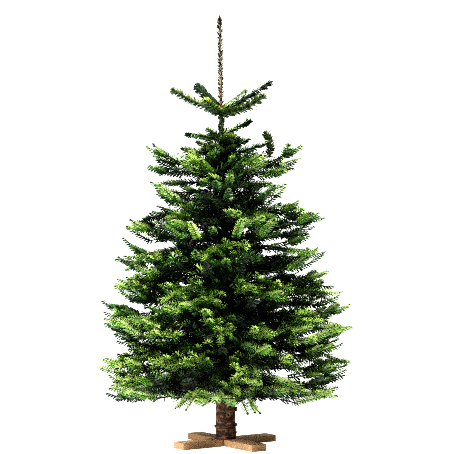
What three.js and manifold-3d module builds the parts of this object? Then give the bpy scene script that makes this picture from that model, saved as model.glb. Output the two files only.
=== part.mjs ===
// A cut fir sold as a Christmas tree, undecorated, screwed to a plain cross of two boards.
// Millimetres, +Z up. The origin is on the floor, under the middle of the trunk's flat cut.

import * as THREE from "three";
import { mergeVertices } from "three/addons/utils/BufferGeometryUtils.js";
import Module from "manifold-3d";

const wasm = await Module();
wasm.setup();

// Trunk and leader. Heights are measured up the tree from the flat cut.
const treeHeight = 1960;
const cutRadius = 48;
const topWhorlRadius = 8;
const topWhorlHeight = 1525;
const trunkTaper = 0.95;
const leaderFootRadius = 6.5;
const leaderTipRadius = 4.8;
const leaderFootLength = 30;
const budRadius = 7;
const budLength = 22;
const tipLean = -29;
const leanPower = 1.1;
const trunkRings = 12;
const trunkSides = 16;

// Stubs of cut boughs on the pruned foot of the trunk.
const stubs = [
  { height: 136, heading: -8, radius: 11, standsOut: 9 },
  { height: 62, heading: 6, radius: 7, standsOut: 6 },
  { height: 30, heading: -22, radius: 7, standsOut: 6 },
  { height: 56, heading: 184, radius: 7, standsOut: 6 },
];
const stubTaper = 0.85;
const roundBarSides = 10;

// The bare feet of the lowest boughs, from the trunk's middle to where they enter their foliage.
const boughLength = 112;
const boughFootRadius = 13;
const boughEndRadius = 10;

// Stand: two boards halved into each other, with two screws driven up into the trunk.
const boardLength = 520;
const boardWidth = 80;
const boardThickness = 30;
const standTurn = 35;
const screwOffset = 24;
const screwSunk = 1;
const screwTop = 78;
const screwRadius = 3;
const screwPointLength = 6;
const screwHeadRadius = 6.5;
const screwHeadDepth = 5;
const screwSides = 8;

// Clear space between a piece and the neighbour that it is cut by.
const fitGap = 0.3;

// Foliage on the boughs: a spray's greatest half width is a share of its bough's reach, its side shoots are
// swept forward and hang a little, and clear space is left between neighbours in a whorl and between whorls.
const boughsPerWhorl = 5;
const sprayRings = 10;
const sectionSides = 8;
const sprayWidthShare = 0.44;
const sprayNotch = 0.76;
const spraySweep = 0.34;
const sprayLeastHalfWidth = 4;
const edgeDroop = 0.08;
const neighbourClearance = 4;
const whorlClearance = 10;

// The whorls of five boughs, from the lowest up. Each gives its height, the heading of its right-hand bough,
// the rise of the boughs' backs, how far their sprays stand above and below them, and for each bough,
// anticlockwise from the right: its sway from an even fifth of the circle, how far it reaches, and how far its
// tip is lifted.
const whorls = [
  { height: 205, turn: -18, arch: 26, above: 80, below: 44,
    sway: [0, 4, -4, 7, -6], reach: [530, 520, 540, 567, 430], lift: [7, -5, 5, 47, 12] },
  { height: 335, turn: 18, arch: 34, above: 86, below: 80,
    sway: [0, 0, 6, 2, -4], reach: [624, 550, 604, 520, 510], lift: [6, 20, -15, -30, -40] },
  { height: 480, turn: -18, arch: 26, above: 90, below: 86,
    sway: [0, 3, -3, 2, 12], reach: [602, 560, 575, 571, 520], lift: [43, 30, 25, 80, -30] },
  { height: 640, turn: 18, arch: 20, above: 90, below: 86,
    sway: [0, 4, 0, 14, -2], reach: [593, 530, 543, 490, 450], lift: [34, 45, 72, -12, 40] },
  { height: 800, turn: -18, arch: 16, above: 90, below: 86,
    sway: [0, -3, 4, 0, 2], reach: [484, 480, 490, 511, 440], lift: [59, 45, 50, 26, 20] },
  { height: 960, turn: 18, arch: 12, above: 102, below: 86,
    sway: [0, 2, 0, 4, -10], reach: [506, 425, 475, 410, 400], lift: [64, 60, 21, 30, 48] },
  { height: 1120, turn: -18, arch: 8, above: 84, below: 88,
    sway: [0, 3, -2, 0, -5], reach: [303, 350, 360, 344, 330], lift: [49, 70, 75, 58, 45] },
  { height: 1264, turn: 18, arch: 4, above: 60, below: 84,
    sway: [0, -4, 0, 3, 0], reach: [391, 300, 339, 290, 300], lift: [42, 62, 52, 30, 26] },
];

// Single shoots clothed in needles: four between the whorls and the six of the top whorl. Each is slimmer at
// its foot, where it keeps inside a wedge of its own.
const shootRadius = 21;
const shootWedge = 19;
const shootRings = 6;
const shoots = [
  { name: "shoot_right", height: 1408, heading: 10, reach: 132, lift: 68, arch: 0 },
  { name: "shoot_left", height: 1392, heading: 172, reach: 160, lift: 24, arch: 0 },
  { name: "shoot_front", height: 1374, heading: 290, reach: 150, lift: 8, arch: 4 },
  { name: "shoot_back", height: 1396, heading: 80, reach: 140, lift: 40, arch: 0 },
  { name: "shoot_top_right", height: 1520, heading: 21, reach: 245, lift: 144, arch: -5 },
  { name: "shoot_top_back_right", height: 1520, heading: 61, reach: 252, lift: 111, arch: -10 },
  { name: "shoot_top_back", height: 1520, heading: 125, reach: 197, lift: 134, arch: -4 },
  { name: "shoot_top_left", height: 1512, heading: 196, reach: 228, lift: 97, arch: -10 },
  { name: "shoot_top_front", height: 1515, heading: 240, reach: 142, lift: 34, arch: -8 },
  { name: "shoot_top_front_right", height: 1512, heading: 328, reach: 225, lift: 60, arch: -20 },
];

const finishes = {
  bark: { color: 0x6b4a2c, roughness: 0.95, metalness: 0 },
  bough: { color: 0x5a4630, roughness: 0.9, metalness: 0 },
  board: { color: 0xb08a5a, roughness: 0.8, metalness: 0 },
  screw: { color: 0x9a9a98, roughness: 0.35, metalness: 1 },
  oldNeedles: { color: 0x35501f, roughness: 0.6, metalness: 0 },
  freshNeedles: { color: 0x5f7f38, roughness: 0.6, metalness: 0 },
};

const { clamp, degToRad, euclideanModulo, lerp, radToDeg } = THREE.MathUtils;

// Solids and meshes

function toSolid(geometry) {
  geometry.deleteAttribute("normal");
  geometry.deleteAttribute("uv");
  const merged = mergeVertices(geometry, 1e-3);
  return new wasm.Manifold(new wasm.Mesh({
    numProp: 3,
    vertProperties: new Float32Array(merged.attributes.position.array),
    triVerts: new Uint32Array(merged.index.array),
  }));
}

function toMesh(name, solid, finish) {
  const { vertProperties, triVerts } = solid.getMesh();
  const geometry = new THREE.BufferGeometry();
  geometry.setAttribute("position", new THREE.BufferAttribute(vertProperties, 3));
  geometry.setIndex(new THREE.BufferAttribute(triVerts, 1));
  geometry.computeVertexNormals();
  const mesh = new THREE.Mesh(geometry, new THREE.MeshStandardMaterial(finish));
  mesh.name = name;
  return mesh;
}

// A closed profile of [radius, height] pairs turned round the vertical axis.
function turned(profile, sides) {
  const points = profile.map(([radius, height]) => new THREE.Vector2(radius, height));
  return new THREE.LatheGeometry(points, sides).rotateX(Math.PI / 2);
}

// A ball drawn out from pole to pole. place gives the point for a ring and for a place round the section,
// where across and over run from -1 to 1.
function drawnOutBall(rings, place) {
  const geometry = new THREE.SphereGeometry(1, sectionSides, rings);
  const points = geometry.attributes.position;
  for (let i = 0; i < points.count; i += 1) {
    const ball = new THREE.Vector3().fromBufferAttribute(points, i);
    const ring = Math.round(Math.acos(clamp(ball.y, -1, 1)) / Math.PI * rings);
    const radius = Math.hypot(ball.x, ball.z);
    const atPole = ring === 0 || ring === rings;
    const point = place(ring, atPole ? 0 : ball.x / radius, atPole ? 0 : ball.z / radius);
    points.setXYZ(i, point.x, point.y, point.z);
  }
  return toSolid(geometry);
}

// A repeatable number from 0 to 1 for each pair of whole numbers, so that no two sprays are alike.
function uneven(seed, step) {
  const value = Math.sin(seed * 12.9898 + step * 78.233) * 43758.5453;
  return value - Math.floor(value);
}

function headingVector(heading) {
  return new THREE.Vector3(Math.cos(degToRad(heading)), Math.sin(degToRad(heading)), 0);
}

// Trunk

// How far the trunk's middle stands off the vertical along X at a height.
function leanAt(height) {
  return tipLean * Math.max(height / treeHeight, 0) ** leanPower;
}

function trunkRadius(height) {
  const share = Math.min(height / topWhorlHeight, 1);
  return topWhorlRadius + (cutRadius - topWhorlRadius) * (1 - share) ** trunkTaper;
}

// The leaning trunk from its cut to the tip of the bud on its leader, fatter all round by grow.
function trunkSolid(grow) {
  const budFoot = treeHeight - budLength;
  const profile = [[0, 0]];
  for (let ring = 0; ring <= trunkRings; ring += 1) {
    const height = topWhorlHeight * ring / trunkRings;
    profile.push([trunkRadius(height) + grow, height]);
  }
  profile.push([leaderFootRadius + grow, topWhorlHeight + leaderFootLength]);
  profile.push([leaderTipRadius + grow, budFoot]);
  profile.push([budRadius + grow, budFoot + budLength * 0.4]);
  profile.push([leaderTipRadius + grow, budFoot + budLength * 0.9]);
  profile.push([0, treeHeight]);
  const geometry = turned(profile, trunkSides);
  const points = geometry.attributes.position;
  for (let i = 0; i < points.count; i += 1) {
    points.setX(i, points.getX(i) + leanAt(points.getZ(i)));
  }
  return toSolid(geometry);
}

// A tapering round bar from the trunk's middle outwards. rise is its climb for each millimetre outwards.
function barSolid({ height, heading, rise, length, footRadius, endRadius }) {
  const upright = new THREE.Vector3(0, 1, 0);
  const way = headingVector(heading).setZ(rise).normalize();
  const geometry = new THREE.CylinderGeometry(endRadius, footRadius, length, roundBarSides);
  geometry.translate(0, length / 2, 0);
  geometry.applyQuaternion(new THREE.Quaternion().setFromUnitVectors(upright, way));
  geometry.translate(leanAt(height), 0, height);
  return toSolid(geometry);
}

function stubSolid({ height, heading, radius, standsOut }) {
  const length = trunkRadius(height) + standsOut;
  return barSolid({ height, heading, rise: 0, length, footRadius: radius, endRadius: radius * stubTaper });
}

// Screws

// A countersunk screw, point up, from its head's face at a height to its point, fatter all round by grow.
function screwSolid(offset, headFace, grow) {
  const neck = screwSunk + screwHeadDepth;
  const profile = [
    [0, headFace],
    [screwHeadRadius + grow, headFace],
    [screwHeadRadius + grow, screwSunk + grow],
    [screwRadius + grow, neck + grow],
    [screwRadius + grow, screwTop - screwPointLength],
    [0, screwTop + grow],
  ];
  return toSolid(turned(profile, screwSides).translate(offset, 0, 0));
}

// The two holes that the screws stand in, open at the floor.
function cutScrewHoles(solid, turn, floorDrop) {
  let cut = solid;
  for (const offset of [-screwOffset, screwOffset]) {
    const hole = screwSolid(offset, -screwSunk, fitGap);
    cut = cut.subtract(hole.rotate([0, 0, turn]).translate([0, 0, -floorDrop]));
  }
  return cut;
}

// Foliage

// How high the boughs of a whorl stand at any heading and distance from the trunk, also between two boughs.
function whorlHeight(whorl, heading, distance) {
  const turns = euclideanModulo(heading - whorl.turn, 360) * boughsPerWhorl / 360;
  const before = Math.floor(turns) % boughsPerWhorl;
  const after = (before + 1) % boughsPerWhorl;
  const reach = lerp(whorl.reach[before], whorl.reach[after], turns % 1);
  const lift = lerp(whorl.lift[before], whorl.lift[after], turns % 1);
  return whorl.height + climb(lift, whorl.arch, Math.min(distance / reach, 1.1));
}

// How far a bough has climbed at a share of its reach.
function climb(lift, arch, share) {
  return lift * share + arch * 4 * share * (1 - share);
}

// The middle of a bough, from the trunk's middle to the bough's tip.
function spinePoint({ height, heading, reach, lift, arch }, share) {
  return headingVector(heading).multiplyScalar(reach * share)
    .add(new THREE.Vector3(leanAt(height), 0, height + climb(lift, arch, share)));
}

// A spray's half width towards one side: a fan with a side shoot on each odd ring and a notch on each even
// one, kept inside the bough's own wedge of the whorl.
function sprayHalfWidth(spray, ring, side) {
  const share = ring / sprayRings;
  const fan = share ** 0.9 * (1 - share) ** 0.8 / 0.309;
  const lobe = ring % 2 === 1 ? 1 : sprayNotch;
  const vary = 0.88 + 0.24 * uneven(spray.seed, ring * 2 + side);
  const wedge = side < 0 ? spray.wedgeBefore : spray.wedgeAfter;
  const room = Math.tan(degToRad(wedge)) * share * spray.reach - neighbourClearance;
  return Math.max(Math.min(sprayWidthShare * spray.reach * fan * lobe * vary, room), sprayLeastHalfWidth);
}

// How far a spray stands off its bough's middle: deep along the bough, thinner at the foot and the tip.
function sprayDepth(spray, ring, over) {
  const share = ring / sprayRings;
  const taper = Math.min(1, 0.5 + share * 3, 0.32 + (1 - share) * 1.8);
  const vary = 0.86 + 0.28 * uneven(spray.seed, ring + 40);
  return (over > 0 ? spray.whorl.above : spray.whorl.below) * taper * vary;
}

// Brings a point of a spray back inside the surfaces that lie half way to the whorls over and under its own.
function keepToWhorl(spray, point) {
  const x = point.x - leanAt(spray.height);
  const distance = Math.hypot(x, point.y);
  const heading = radToDeg(Math.atan2(point.y, x));
  const [under, own, over] = [spray.whorlUnder, spray.whorl, spray.whorlOver]
    .map((whorl) => whorl && whorlHeight(whorl, heading, distance));
  if (over) {
    point.z = Math.min(point.z, (own + over - whorlClearance) / 2);
  }
  if (under) {
    point.z = Math.max(point.z, (own + under + whorlClearance) / 2);
  }
  return point;
}

function spraySolid(spray) {
  const ahead = headingVector(spray.heading);
  const aside = headingVector(spray.heading + 90);
  return drawnOutBall(sprayRings, (ring, across, over) => {
    const share = ring / sprayRings;
    const side = across < 0 ? -1 : 1;
    const spread = sprayHalfWidth(spray, ring, side) * Math.abs(across) ** 0.8;
    const swell = sprayDepth(spray, ring, over) * Math.sign(over) * Math.abs(over) ** 0.7;
    const point = spinePoint(spray, share);
    point.addScaledVector(ahead, spraySweep * spread * (1 - share * 0.8));
    point.addScaledVector(aside, spread * side);
    point.z += swell - edgeDroop * spread;
    return keepToWhorl(spray, point);
  });
}

function shootSolid(shoot) {
  const aside = headingVector(shoot.heading + 90);
  return drawnOutBall(shootRings, (ring, across, over) => {
    const share = ring / shootRings;
    const room = Math.tan(degToRad(shootWedge)) * share * shoot.reach;
    const swell = shootRadius * (0.8 + 0.3 * uneven(shoot.height + shoot.heading, ring));
    const radius = Math.min(swell, room);
    const point = spinePoint(shoot, share).addScaledVector(aside, radius * across);
    point.z += radius * over;
    return point;
  });
}

// The block of space round a bough's bare foot, from the trunk's middle to a flat face square to the bough.
function footBlock(spray, length) {
  const block = new THREE.BoxGeometry(2 * length, 4 * length, 4 * length);
  block.rotateZ(degToRad(spray.heading));
  block.translate(leanAt(spray.height), 0, spray.height);
  return toSolid(block);
}

// The bare foot of a bough, cut off flat just short of its foliage.
function boughSolid(spray) {
  const bar = barSolid({
    height: spray.height,
    heading: spray.heading,
    rise: climb(spray.lift, spray.arch, boughLength / spray.reach) / boughLength,
    length: boughLength * 1.2,
    footRadius: boughFootRadius,
    endRadius: boughEndRadius,
  });
  return bar.intersect(footBlock(spray, boughLength - fitGap));
}

// One bough of a whorl, with the wedge on each side of it that reaches half way to the next bough.
function boughOf(level, index) {
  const whorl = whorls[level];
  const even = 360 / boughsPerWhorl;
  const before = whorl.sway[(index + boughsPerWhorl - 1) % boughsPerWhorl];
  const after = whorl.sway[(index + 1) % boughsPerWhorl];
  return {
    height: whorl.height,
    heading: whorl.turn + index * even + whorl.sway[index],
    reach: whorl.reach[index],
    lift: whorl.lift[index],
    arch: whorl.arch,
    wedgeBefore: (even + whorl.sway[index] - before) / 2,
    wedgeAfter: (even + after - whorl.sway[index]) / 2,
    whorlUnder: whorls[level - 1],
    whorl,
    whorlOver: whorls[level + 1],
    seed: level * boughsPerWhorl + index + 1,
  };
}

// The plain name of the side that a heading points to.
function sideName(heading) {
  const names = ["right", "back_right", "back", "back_left", "left", "front_left", "front", "front_right"];
  return names[Math.round((heading + 360) / 45) % names.length];
}

// The tree, standing on the boards

const tree = new THREE.Group();
tree.position.z = boardThickness;

const stubbedTrunk = stubs.reduce((solid, stub) => solid.add(stubSolid(stub)), trunkSolid(0));
tree.add(toMesh("trunk", cutScrewHoles(stubbedTrunk, standTurn, boardThickness), finishes.bark));

const roomForTrunk = trunkSolid(fitGap);

for (let level = 0; level < whorls.length; level += 1) {
  for (let index = 0; index < boughsPerWhorl; index += 1) {
    const spray = boughOf(level, index);
    const place = `${level + 1}_${sideName(spray.heading)}`;
    const finish = level === 0 || spray.heading > 180 ? finishes.freshNeedles : finishes.oldNeedles;
    let foliage = spraySolid(spray).subtract(roomForTrunk);
    if (level === 0) {
      foliage = foliage.subtract(footBlock(spray, boughLength));
      tree.add(toMesh(`bough_${place}`, boughSolid(spray).subtract(roomForTrunk), finishes.bough));
    }
    tree.add(toMesh(`foliage_${place}`, foliage, finish));
  }
}

for (const shoot of shoots) {
  tree.add(toMesh(shoot.name, shootSolid(shoot).subtract(roomForTrunk), finishes.freshNeedles));
}

// The stand

const stand = new THREE.Group();
stand.rotation.z = degToRad(standTurn);

// A board with its middle cut away between two heights, turned to its place in the cross.
function boardSolid(turn, notchFrom, notchTo) {
  const plank = new THREE.BoxGeometry(boardLength, boardWidth, boardThickness);
  const notch = new THREE.BoxGeometry(boardWidth + 2 * fitGap, boardWidth * 2, notchTo - notchFrom);
  plank.translate(0, 0, boardThickness / 2);
  notch.translate(0, 0, (notchFrom + notchTo) / 2);
  return cutScrewHoles(toSolid(plank).subtract(toSolid(notch)).rotate([0, 0, turn]), 0, 0);
}

const halving = boardThickness / 2;
const lowerBoard = boardSolid(0, halving - fitGap / 2, boardThickness + halving);
const upperBoard = boardSolid(90, -halving, halving + fitGap / 2);
stand.add(toMesh("stand_board_lower", lowerBoard, finishes.board));
stand.add(toMesh("stand_board_upper", upperBoard, finishes.board));
stand.add(toMesh("stand_screw_left", screwSolid(-screwOffset, screwSunk, 0), finishes.screw));
stand.add(toMesh("stand_screw_right", screwSolid(screwOffset, screwSunk, 0), finishes.screw));

const christmasTree = new THREE.Group();
christmasTree.add(stand, tree);

export default christmasTree;
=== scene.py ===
# A cut fir, undecorated, on a plain cross of two boards: bark, boughs, twigs, needles, buds and stand.
# Metres, +Z up. Heights are measured from the floor. Each mass of foliage grows inside its CAD solid.

import math
import random
from functools import partial

import bmesh
import bpy
from mathutils import Matrix, Quaternion, Vector, noise
from mathutils.bvhtree import BVHTree


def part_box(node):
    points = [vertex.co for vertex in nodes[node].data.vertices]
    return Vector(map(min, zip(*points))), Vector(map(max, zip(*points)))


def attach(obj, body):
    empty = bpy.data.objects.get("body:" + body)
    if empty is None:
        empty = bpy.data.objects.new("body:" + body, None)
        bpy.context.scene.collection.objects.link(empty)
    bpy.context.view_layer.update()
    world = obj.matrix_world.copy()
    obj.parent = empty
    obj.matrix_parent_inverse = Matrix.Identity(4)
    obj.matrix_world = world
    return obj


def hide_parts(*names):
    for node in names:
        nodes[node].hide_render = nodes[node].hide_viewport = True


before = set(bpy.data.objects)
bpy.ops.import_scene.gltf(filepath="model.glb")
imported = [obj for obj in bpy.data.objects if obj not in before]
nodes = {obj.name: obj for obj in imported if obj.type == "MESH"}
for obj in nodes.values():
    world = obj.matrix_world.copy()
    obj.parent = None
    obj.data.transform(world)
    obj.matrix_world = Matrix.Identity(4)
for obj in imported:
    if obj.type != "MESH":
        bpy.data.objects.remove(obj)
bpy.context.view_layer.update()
scene = bpy.context.scene
up = Vector((0, 0, 1))
print("frame: %d nodes" % len(nodes))

# The trunk's own line and girth, the same as the solid trunk's

trunk = {
    "foot": 0.03,  # height of the cut, on top of the boards
    "tip": 1.99,
    "lean": -0.029,  # how far the tip stands off the vertical along X
    "leanPower": 1.1,
    "whorl": 1.555,  # height of the top whorl
    "cutRadius": 0.048,
    "whorlRadius": 0.008,
    "taper": 0.95,
    "leaderFoot": 0.0065,
    "leaderTip": 0.0048,
    "leaderFootLength": 0.03,
    "budLength": 0.022,
}


def axisAt(height):
    share = max(height - trunk["foot"], 0) / (trunk["tip"] - trunk["foot"])
    return Vector((trunk["lean"] * share ** trunk["leanPower"], 0, height))


def girthAt(height):
    share = (height - trunk["foot"]) / (trunk["whorl"] - trunk["foot"])
    if share <= 1:
        spare = trunk["cutRadius"] - trunk["whorlRadius"]
        return trunk["whorlRadius"] + spare * (1 - max(share, 0)) ** trunk["taper"]
    above = height - trunk["whorl"]
    if above < trunk["leaderFootLength"]:
        blend = above / trunk["leaderFootLength"]
        return trunk["whorlRadius"] + (trunk["leaderFoot"] - trunk["whorlRadius"]) * blend
    length = trunk["tip"] - trunk["budLength"] - trunk["whorl"] - trunk["leaderFootLength"]
    blend = min((above - trunk["leaderFootLength"]) / length, 1)
    return trunk["leaderFoot"] + (trunk["leaderTip"] - trunk["leaderFoot"]) * blend


def towards(degrees, rise=0.0):
    turn = math.radians(degrees)
    return Vector((math.cos(turn), math.sin(turn), rise)).normalized()


# Node helpers

def addNode(tree, kind, inputs=None, **settings):
    node = tree.nodes.new(kind)
    for key, value in settings.items():
        setattr(node, key, value)
    for key, value in (inputs or {}).items():
        if isinstance(value, bpy.types.NodeSocket):
            tree.links.new(value, node.inputs[key])
        else:
            node.inputs[key].default_value = value
    return node


def mathNode(tree, operation, *values):
    return addNode(tree, "ShaderNodeMath", dict(enumerate(values)), operation=operation).outputs[0]


def arithmetic(tree, *operations):
    return [partial(mathNode, tree, operation) for operation in operations]


def vectorNode(tree, operation, *values):
    return addNode(tree, "ShaderNodeVectorMath", dict(enumerate(values)), operation=operation).outputs[0]


def noiseNode(tree, place, scale, detail):
    inputs = {"Vector": place, "Scale": scale, "Detail": detail}
    return addNode(tree, "ShaderNodeTexNoise", inputs).outputs["Fac"]


def rangeNode(tree, value, low, high, steps="LINEAR"):
    inputs = {"Value": value, "From Min": low, "From Max": high}
    return addNode(tree, "ShaderNodeMapRange", inputs, interpolation_type=steps).outputs[0]


def placeNode(tree):
    return addNode(tree, "ShaderNodeTexCoord").outputs["Object"]


def mixColour(tree, factor, first, second, blend="MIX"):
    inputs = {0: factor, 6: first, 7: second}
    return addNode(tree, "ShaderNodeMix", inputs, data_type="RGBA", blend_type=blend).outputs[2]


def ramp(tree, factor, stops):
    node = addNode(tree, "ShaderNodeValToRGB", {"Fac": factor})
    for place, (position, colour) in enumerate(stops):
        elements = node.color_ramp.elements
        element = elements[place] if place < 2 else elements.new(position)
        element.position = position
        element.color = (*colour, 1)
    return node.outputs[0]


def newMaterial(name, **values):
    material = bpy.data.materials.new(name)
    material.use_nodes = True
    tree = material.node_tree
    shader = tree.nodes["Principled BSDF"]
    for label, value in values.items():
        shader.inputs[label.replace("_", " ")].default_value = value
    return material, tree, shader


def needlePaint(name, colour, roughness, shine=0.4):
    return newMaterial(name, Base_Color=(*colour, 1), Roughness=roughness, Specular_IOR_Level=shine)[0]


def nodeGroup(name, family, inputs, outputs):
    # A tree with named inputs, each with its kind and perhaps its usual value, and named outputs
    tree = bpy.data.node_groups.new(name, family + "NodeTree")
    for label, kind, *value in inputs:
        socket = tree.interface.new_socket(label, in_out="INPUT", socket_type="NodeSocket" + kind)
        if value:
            socket.default_value = value[0]
    for label, kind in outputs:
        tree.interface.new_socket(label, in_out="OUTPUT", socket_type="NodeSocket" + kind)
    return tree, addNode(tree, "NodeGroupInput").outputs, addNode(tree, "NodeGroupOutput").inputs


def ended(tree, made, *values):
    for value, socket in zip(values, made):
        tree.links.new(value, socket)
    return tree


def finished(tree, shader, group, inputs, strength, distance):
    # The shader takes its colour, roughness and bump from a group
    tone = addNode(tree, "ShaderNodeGroup", inputs, node_tree=group).outputs
    tree.links.new(tone["Color"], shader.inputs["Base Color"])
    tree.links.new(tone["Roughness"], shader.inputs["Roughness"])
    bump = addNode(tree, "ShaderNodeBump", {
        "Height": tone["Height"], "Strength": strength, "Distance": distance,
    })
    tree.links.new(bump.outputs[0], shader.inputs["Normal"])
    return tone


toneOutputs = [("Color", "Color"), ("Roughness", "Float"), ("Height", "Float")]

# Bark: plates and cracks follow the relief that the mesh carries as an attribute

barkLook = {
    "trunk": {
        "Crack": (0.004, 0.0015, 0.0006, 1), "Brown": (0.024, 0.0080, 0.0020, 1),
        "Pale": (0.140, 0.074, 0.028, 1), "Grain": 150.0,
    },
    "boughs": {
        "Crack": (0.016, 0.011, 0.008, 1), "Brown": (0.060, 0.042, 0.026, 1),
        "Pale": (0.170, 0.130, 0.095, 1), "Grain": 420.0,
    },
    "plates": (0.18, 0.50),  # the relief where cracks end and where plates begin
    "patchSize": 26.0,
    "patchSquash": (1.0, 1.0, 1.9),
    "paler": (0.62, 0.90),  # how strong a patch is where it begins to turn pale, and where it is pale
    "paleByRelief": 0.35,
    "speckle": [(0.3, (0.72, 0.72, 0.72)), (0.7, (1.2, 1.17, 1.12))],
    "roughness": 0.62,
    "roughnessByGrain": 0.3,
    "bump": (0.5, 0.0006),
    # the young stem: green, then redder at the leader's foot and tan on the leader
    "youngFrom": (0.50, 1.0),  # heights where it begins and where nothing else shows
    "youngHeights": (1.30, 2.0),
    "young": [
        (0.0, (0.010, 0.010, 0.005)), (0.12, (0.012, 0.017, 0.006)), (0.34, (0.020, 0.030, 0.009)),
        (0.37, (0.075, 0.024, 0.010)), (0.43, (0.080, 0.042, 0.018)), (0.55, (0.085, 0.062, 0.030)),
        (1.0, (0.080, 0.058, 0.028)),
    ],
}


def barkGroup():
    group, given, made = nodeGroup("bark_tone", "Shader", [
        ("Crack", "Color"), ("Brown", "Color"), ("Pale", "Color"), ("Grain", "Float"),
    ], toneOutputs)
    plus, times = arithmetic(group, "ADD", "MULTIPLY")
    relief = addNode(group, "ShaderNodeAttribute", attribute_name="relief").outputs["Fac"]
    place = placeNode(group)
    squashed = vectorNode(group, "MULTIPLY", place, barkLook["patchSquash"])
    patch = noiseNode(group, squashed, barkLook["patchSize"], 2.0)
    fine = noiseNode(group, place, given["Grain"], 4.0)
    raised = rangeNode(group, relief, *barkLook["plates"], "SMOOTHSTEP")
    body = mixColour(group, raised, given["Crack"], given["Brown"])
    strong = plus(patch, times(relief, barkLook["paleByRelief"]))
    lit = mixColour(group, rangeNode(group, strong, *barkLook["paler"], "SMOOTHSTEP"), body, given["Pale"])
    speckled = mixColour(group, 1.0, lit, ramp(group, fine, barkLook["speckle"]), "MULTIPLY")
    rough = plus(barkLook["roughness"], times(fine, barkLook["roughnessByGrain"]))
    return ended(group, made, speckled, rough, fine)


barkTone = barkGroup()


def barkMaterial(name, look):
    material, tree, shader = newMaterial(name)
    tone = finished(tree, shader, barkTone, look, *barkLook["bump"])
    return material, tree, shader, tone


def trunkBark():
    material, tree, shader, tone = barkMaterial("trunk_bark", barkLook["trunk"])
    height = addNode(tree, "ShaderNodeSeparateXYZ", {0: placeNode(tree)}).outputs["Z"]
    young = ramp(tree, rangeNode(tree, height, *barkLook["youngHeights"]), barkLook["young"])
    blend = rangeNode(tree, height, *barkLook["youngFrom"])
    tree.links.new(mixColour(tree, blend, tone["Color"], young), shader.inputs["Base Color"])
    return material


# Sawn wood: yearly rings about a heart line that runs beside the board, so that its faces show grain
# and its ends show arcs

woodLook = {
    "rings": 260.0,  # for each metre
    "heart": (0.011, 0.055),  # how far the heart line runs beside and under the board's middle
    "swayScale": (1.2, 14.0, 14.0),
    "sway": 0.009,
    "fibreScale": (6.0, 130.0, 130.0),
    "late": 0.75,  # how strongly late wood and fibres darken it
    "fibre": 0.30,
    "roughness": 0.55,
    "roughnessByFibre": 0.25,
    "lateDepth": 0.4,
    "bump": (0.2, 0.0003),
}


def woodGroup():
    group, given, made = nodeGroup("sawn_grain", "Shader", [
        ("Vector", "Vector"), ("Pale", "Color"), ("Dark", "Color"), ("Rings", "Float", woodLook["rings"]),
    ], toneOutputs)
    plus, minus, times = arithmetic(group, "ADD", "SUBTRACT", "MULTIPLY")
    place = given["Vector"]
    sway = noiseNode(group, vectorNode(group, "MULTIPLY", place, woodLook["swayScale"]), 1.0, 2.0)
    fibre = noiseNode(group, vectorNode(group, "MULTIPLY", place, woodLook["fibreScale"]), 1.0, 3.0)
    parts = addNode(group, "ShaderNodeSeparateXYZ", {0: place}).outputs
    aside, below = [plus(parts[axis], far) for axis, far in zip("YZ", woodLook["heart"])]
    far = mathNode(group, "SQRT", plus(times(aside, aside), times(below, below)))
    bent = plus(far, times(sway, woodLook["sway"]))
    late = mathNode(group, "POWER", mathNode(group, "FRACT", times(bent, given["Rings"])), 3.0)
    tone = plus(times(late, woodLook["late"]), times(fibre, woodLook["fibre"]))
    rough = plus(woodLook["roughness"], times(fibre, woodLook["roughnessByFibre"]))
    height = minus(fibre, times(late, woodLook["lateDepth"]))
    return ended(group, made, mixColour(group, tone, given["Pale"], given["Dark"]), rough, height)


woodGrain = woodGroup()


def woodMaterial(name, turn, pale, dark):
    material, tree, shader = newMaterial(name)
    turned = addNode(tree, "ShaderNodeMapping", {
        "Vector": placeNode(tree), "Rotation": (0, 0, -math.radians(turn)),
    }).outputs[0]
    colours = {"Vector": turned, "Pale": (*pale, 1), "Dark": (*dark, 1)}
    finished(tree, shader, woodGrain, colours, *woodLook["bump"])
    return material


def steelMaterial():
    material, tree, shader = newMaterial("zinc_steel", Metallic=1.0, Roughness=0.35)
    spots = noiseNode(tree, placeNode(tree), 420.0, 3.0)
    colour = ramp(tree, spots, [(0.35, (0.42, 0.41, 0.38)), (0.65, (0.66, 0.66, 0.64))])
    plus, times = arithmetic(tree, "ADD", "MULTIPLY")
    tree.links.new(colour, shader.inputs["Base Color"])
    tree.links.new(plus(0.22, times(spots, 0.3)), shader.inputs["Roughness"])
    return material


needleLook = {
    "colours": {
        "deep": (0.006, 0.014, 0.006),
        "dark": (0.016, 0.038, 0.014),
        "green": (0.033, 0.084, 0.022),
        "leaf": (0.074, 0.152, 0.031),
        "fresh": (0.155, 0.245, 0.050),
        "pale": (0.250, 0.330, 0.110),
    },
    "roughness": 0.31,
    "olive": (1.58, 1.13, 1.38),  # red, green and blue of the top shoots' needles against those
}
tints = list(needleLook["colours"])
needleMaterials, oliveMaterials = [], []
for tint, colour in needleLook["colours"].items():
    olive = [a * b for a, b in zip(colour, needleLook["olive"])]
    needleMaterials.append(needlePaint("needles_" + tint, colour, needleLook["roughness"]))
    oliveMaterials.append(needlePaint("olive_" + tint, olive, needleLook["roughness"]))
twigMaterials = [
    needlePaint("twig_green", (0.060, 0.075, 0.024), 0.7, 0.2),
    needlePaint("twig_brown", (0.030, 0.024, 0.014), 0.9, 0.1),
]
budMaterial = needlePaint("bud_scales", (0.015, 0.009, 0.005), 0.8, 0.12)
print("materials made")

# Growth: each mass of foliage is a bough with pairs of side shoots at every year's end, and smaller boughs
# over and under it, all kept inside the mass. Then come the boughs and shoots that no one mass holds

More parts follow.
